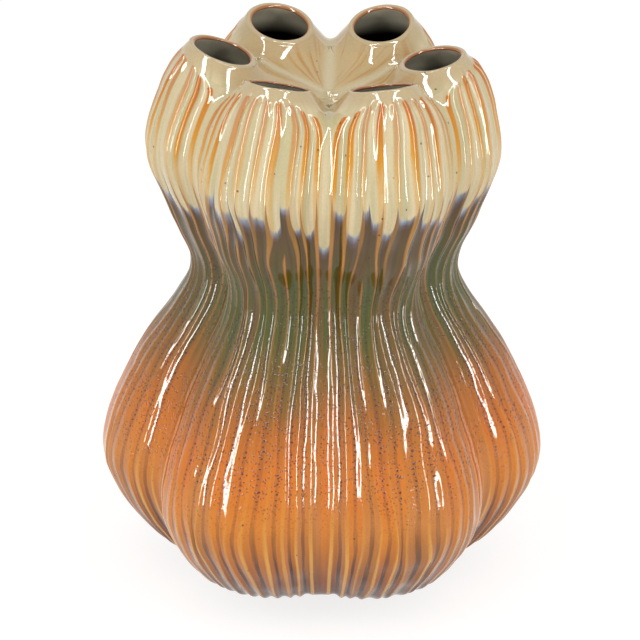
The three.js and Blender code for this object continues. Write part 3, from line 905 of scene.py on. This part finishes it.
    # Parts of the pattern that several zones bound
    ranges = dict(
        tint=spanOf("tint", tint), poolAndShade=spanOf("poolAndShade", poolAndShade), dot=spanOf("dot", dot),
        speck=spanOf("speck", speck), rare=spanOf("rare", rare), onCrest=spanOf("onCrest", onCrest),
        dishStreak=spanOf("dishStreak", dishStreak), rim=rimSpan, halo=haloSpan, cream=spanOf("cream", edge))
    shown = {key: node("MapRange", inputs, **smooth) for key, inputs in ranges.items()}
    shown["line"] = zone["lineFrom"]
    bounds = dict(
        poolAndShade=(zone["poolAndShadeLow"], zone["offStrip"], strong["poolAndShade"]),
        dot=(zone["dotFrom"], zone["dotTo"], zone["onFlute"]),
        speck=(zone["speckPatch"], zone["speckFrom"], zone["speckTo"], strong["speck"]),
        dishStreak=(dished, zone["besideCrease"], strong["dishStreak"]),
        onCrest=(worn, ramps["crestShown"]),
        rare=(zone["rarePatch"], strong["rare"]),
        line=(zone["lineTo"], strong["lipLine"]))
    for key, factors in bounds.items():
        for factor in factors:
            shown[key] = node("Math", {0: shown[key], 1: factor}, **times)
    dotColoured = node("Math", {0: shown["dot"], 1: strong["dot"]}, **times)
    grainy = node("MapRange", spanOf("grain", grain))

    # Cream glaze at the top, tan and streaked in the dish, with pale strips along its creases
    cream = colours["cream"]
    for share, key in ((zone["creamGreen"], "creamGreen"), (dished, "dish"), (shown["dishStreak"], "amber"),
                       (zone["creasePale"], "dishPale"), (shown["rim"], "rim")):
        cream = node("Mix", {0: share, 6: cream, 7: colours[key]}, **blend)

    # All layers from the grooves' colour up: pooled glaze with painted shade in the grooves' bottoms, dots,
    # halo, cream, crests, specks, then the lip with its amber line, cream inside it lightened as painted
    # light, and painted shade darkening the bore below it
    layers = [
        (shown["tint"], ramps["mauve"]), (shown["poolAndShade"], colours["poolAndShade"]), (dotColoured, colours["iron"]),
        (shown["halo"], halo), (shown["cream"], cream), (shown["onCrest"], ramps["crest"]),
        (shown["speck"], colours["iron"]), (shown["rare"], colours["iron"]),
        (zone["insideTop"], colours["insideTop"]), (shown["line"], colours["lipLine"]),
        (zone["inside"], colours["inside"]), (grainy, colours["iron"])]
    result = ramps["olive"]
    for share, layer in layers:
        result = node("Mix", {0: share, 6: result, 7: layer}, **blend)

    raised = node("Math", {0: shown["dot"], 1: shown["speck"]}, operation="MAXIMUM")
    inputs = {}
    for key, relief in (("blotch", blotch), ("dots", raised)):
        strength, depth = glazes["bumps"][key]
        inputs["Normal"] = node("Bump", {"Strength": strength, "Distance": depth, "Height": relief, **inputs})
    surface = node("BsdfPrincipled", {
        "Base Color": result, "Roughness": glazes["roughness"], "IOR": glazes["ior"], **inputs})
    node("OutputMaterial", {"Surface": surface})
    return material


bareClay = dict(
    dark="#b08e68", light="#c9ab84", grains="#d6bd9a", sandScale=700, cloudScale=40, roughness=0.85)


def makeClay(name):
    # Biscuit earthenware, sponged clean of glaze: dry and matt, sandy, a little darker where glaze stained it
    material, node = newMaterial(name)
    blend = dict(data_type="RGBA", out=2)
    place = node("TexCoord", out="Object")
    sand = node("TexNoise", {"Vector": place, "Scale": bareClay["sandScale"], "Detail": 4.0})
    cloud = node("TexNoise", {"Vector": place, "Scale": bareClay["cloudScale"], "Detail": 3.0})
    dark, light, grains = (linearColour(bareClay[key]) for key in ("dark", "light", "grains"))
    colour = node("Mix", {0: cloud, 6: dark, 7: light}, **blend)
    colour = node("Mix", {0: sand, 6: colour, 7: grains}, **blend)
    bump = node("Bump", {"Strength": 0.4, "Distance": 0.0003, "Height": sand})
    surface = node("BsdfPrincipled", {
        "Base Color": colour, "Roughness": bareClay["roughness"], "Normal": bump})
    node("OutputMaterial", {"Surface": surface})
    return material


# Pieces

glaze = makeGlaze("run_earthenware_glaze")
clay = makeClay("biscuit_clay")
print("stage: finishes made")

lobes = [makeLobe(lobe) for lobe in range(lobeCount)]
web = makeWeb()
sharedNormals(lobes + [web])
for part in lobes + [web]:
    part["points"] = part["points"] + part["normals"] * (ripple(part["points"]) * part["seen"])[:, None]
sharedNormals(lobes + [web])
print("stage: shapes worked out,", sum(len(part["shown"]) for part in lobes), "outer faces")


def addSkin(part):
    faces = part["shown"].tolist() + part["hidden"].tolist() + part["polygons"]
    if "fan" in part:
        faces += part["fan"].tolist()
    piece = addPiece(part["name"], part["points"], faces, glaze)
    mesh = piece.data
    for key, values in part["values"].items():
        layer = mesh.attributes.new(key, "FLOAT", "POINT")
        layer.data.foreach_set("value", values.astype(np.float32))
    corners = np.zeros(len(mesh.loops), np.int32)
    mesh.loops.foreach_get("vertex_index", corners)
    uvLayer = mesh.uv_layers.new(name="flutes")
    uvLayer.data.foreach_set("uv", part["uv"][corners].astype(np.float32).ravel())
    mesh.polygons.foreach_set("use_smooth", np.ones(len(mesh.polygons), bool))
    mesh.normals_split_custom_set_from_vertices(part["normals"].tolist())
    return piece


for lobe, part in enumerate(lobes):
    skin = addSkin(part)
    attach(skin, "root")
    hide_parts(f"lobe_{lobe * 60:03d}", f"seam_coil_{lobe * 60 + 30:03d}")
webPiece = addSkin(web)
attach(webPiece, "root")
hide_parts("centre_web")

basePart = makeBase(lobes)
slab = addPiece(basePart["name"], basePart["points"], basePart["faces"].tolist(), clay)
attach(slab, "root")
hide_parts("base_slab")
print("stage: pieces in place")


# Floor, light and camera

studio = dict(
    floorSize=6.0, floorColour="#f2f0ee", surroundDiffuse=0.52,
    floorShown="#a3a09d", floorLift=0.79,  # what the camera sees of the floor: a weak shadow on its own white
    gleam=26.0,  # radiance of the strips of white card that only the gloss sees, against 1 for the white room
    strips=[  # bearing from the camera's side in degrees, distance, lowest and highest point, width, watts
        dict(bearing=-48, distance=1.0, low=0.01, high=0.92, width=0.11, power=3.3),
        dict(bearing=50, distance=1.0, low=0.01, high=0.92, width=0.10, power=3.0),
        dict(bearing=-46, distance=1.15, low=1.0, high=1.9, width=0.16, power=3.7),
        dict(bearing=48, distance=1.15, low=1.0, high=1.9, width=0.14, power=3.3)],
    overhead=0.5, overReach=0.2)  # a strip that starts higher leans in to this share of its distance


def seenShare(node):
    # 1 for rays from the camera, in gloss and through glass, 0 for the rest
    rays = node("LightPath").node.outputs
    seen = node("Math", {0: rays["Is Camera Ray"], 1: rays["Is Glossy Ray"]}, operation="MAXIMUM")
    return node("Math", {0: seen, 1: rays["Is Transmission Ray"]}, operation="MAXIMUM")


def addFace(name, corners, material):
    # One flat face of the studio
    mesh = bpy.data.meshes.new(name)
    mesh.from_pydata([tuple(corner) for corner in corners], [], [(0, 1, 2, 3)])
    mesh.materials.append(material)
    return intoScene(name, mesh)


def makeFloor():
    # Pale matt floor; the camera and the gloss see it with light of its own, so that it runs into white
    half = studio["floorSize"] / 2
    material, node = newMaterial("paper_floor")
    paper = node("BsdfDiffuse", {"Color": linearColour(studio["floorColour"])})
    shown = node("BsdfDiffuse", {"Color": linearColour(studio["floorShown"])})
    glow = node("Emission", {"Strength": studio["floorLift"]})
    shown = node("AddShader", {0: shown, 1: glow})
    node("OutputMaterial", {"Surface": node("MixShader", {0: seenShare(node), 1: paper, 2: shown})})
    corners = [(-half, -half, 0), (half, -half, 0), (half, half, 0), (-half, half, 0)]
    floor = addFace("studio_floor", corners, material)


def makeSurround():
    # White to the camera, to gloss and through glass, and a plain grey light to everything else
    world = bpy.data.worlds.new("studio")
    bpy.context.scene.world = world
    world.use_nodes = True
    world.node_tree.nodes.clear()
    node = partial(addNode, world.node_tree)
    strength = node("MapRange", {0: seenShare(node), 3: studio["surroundDiffuse"], 4: 1.0})
    node("OutputWorld", {"Surface": node("Background", {"Color": (1, 1, 1, 1), "Strength": strength})})


def makeStrip(number, strip):
    # Narrow softbox beside the vase, and a bright card in its place that only the gloss sees: an upright one
    # stands, one that starts over the vase's top leans over it
    bearing = math.radians(strip["bearing"])
    side = Vector((math.sin(bearing), -math.cos(bearing), 0))
    upright = strip["low"] < studio["overhead"]
    highReach = strip["distance"] if upright else studio["overReach"] * strip["distance"]
    lowEnd = side * strip["distance"] + Vector((0, 0, strip["low"]))
    highEnd = side * highReach + Vector((0, 0, strip["high"]))
    along = (highEnd - lowEnd).normalized()
    across = along.cross(side).normalized()
    light = bpy.data.lights.new(f"softbox_{number}", "AREA")
    light.shape = "RECTANGLE"
    light.size = strip["width"]
    light.size_y = (highEnd - lowEnd).length
    light.energy = strip["power"]
    lamp = intoScene(light.name, light)
    facing = Matrix((across, along, across.cross(along))).transposed().to_4x4()
    lamp.matrix_world = Matrix.Translation((lowEnd + highEnd) / 2) @ facing
    lamp.visible_glossy = False

    half = across * strip["width"] / 2
    material, node = newMaterial(f"gleam_card_{number}")
    glossRay = node("LightPath").node.outputs["Is Glossy Ray"]
    clear = node("BsdfTransparent")
    bright = node("Emission", {"Strength": studio["gleam"]})
    node("OutputMaterial", {"Surface": node("MixShader", {0: glossRay, 1: clear, 2: bright})})
    corners = [lowEnd - half, lowEnd + half, highEnd + half, highEnd - half]
    card = addFace(material.name, corners, material)


view = dict(  # angles in radians, lengths in metres, pixels of the photograph
    elevation=0.433, roll=0.010, distance=1.60, aimHeight=0.155, pixel=0.576 * mm, centre=(323.4, 319.5))


def makeCamera():
    # Camera at the photograph's angle: a point at the aim's distance covers pixel metres in a 640 pixel frame
    frameWidth = 640
    camera = bpy.data.cameras.new("camera")
    camera.sensor_width = 36
    camera.lens = view["distance"] / view["pixel"] / frameWidth * camera.sensor_width
    camera.shift_x = -(view["centre"][0] - frameWidth / 2) / frameWidth
    camera.shift_y = (view["centre"][1] - frameWidth / 2) / frameWidth
    camera.clip_end = 30
    eye = intoScene("camera", camera)
    c, s = math.cos(view["elevation"]), math.sin(view["elevation"])
    aim = Vector((0, 0, view["aimHeight"]))
    place = aim + view["distance"] * Vector((0, -c, s))
    turn = Matrix(((1, 0, 0), (0, s, -c), (0, c, s))).to_4x4()
    eye.matrix_world = Matrix.Translation(place) @ turn @ Matrix.Rotation(view["roll"], 4, "Z")
    bpy.context.scene.camera = eye


makeFloor()
makeSurround()
for number, strip in enumerate(studio["strips"]):
    makeStrip(number, strip)
makeCamera()
bpy.context.scene.view_settings.view_transform = "Standard"

print("stage: done")
